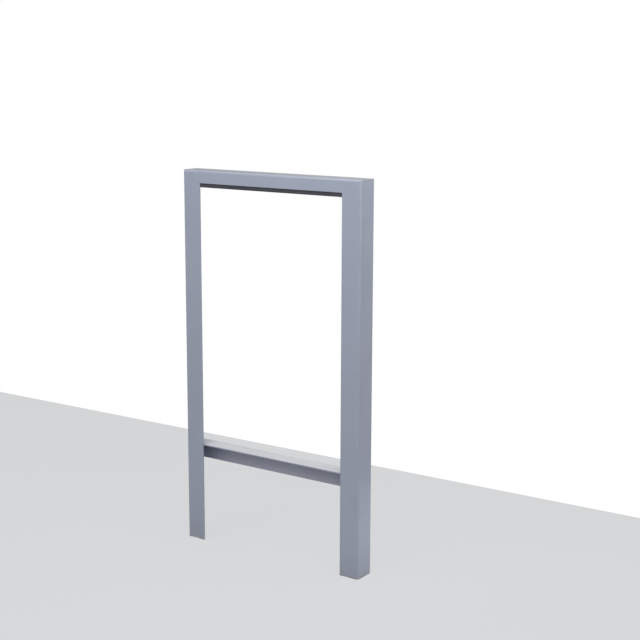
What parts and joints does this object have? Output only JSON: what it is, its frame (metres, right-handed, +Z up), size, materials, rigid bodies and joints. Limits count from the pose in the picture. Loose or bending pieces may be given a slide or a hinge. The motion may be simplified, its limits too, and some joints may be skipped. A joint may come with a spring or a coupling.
{
  "type": "bike rack",
  "caption": "Rectangular bicycle hoop of folded sheet steel, with a low cross rail, a rubber buffer in the top rail and foot plates that bolt down below the paving.",
  "frame": {"origin": "under the middle of the hoop, on the foundation surface that the foot plates rest on; the paving surface is at z = 0.100 m", "axes": "+Z up, +X to the right along the hoop's width as seen from its front, +Y from the front face to the open back"},
  "size_m": [0.57, 0.12, 1],
  "materials": {
    "powder_coat": "fine satin blue-grey powder coat on zinc-coated steel",
    "buffer_rubber": "matt black extruded rubber",
    "zinc_steel": "bright zinc-plated steel"
  },
  "bodies": {
    "root": {"left_leg": "powder_coat", "right_leg": "powder_coat", "top_rail": "powder_coat", "cross_rail": "powder_coat", "left_foot_plate": "powder_coat", "right_foot_plate": "powder_coat", "buffer_strip": "buffer_rubber", "buffer_studs": "zinc_steel", "buffer_washers": "zinc_steel", "buffer_nuts": "zinc_steel"}
  },
  "joints": []
}
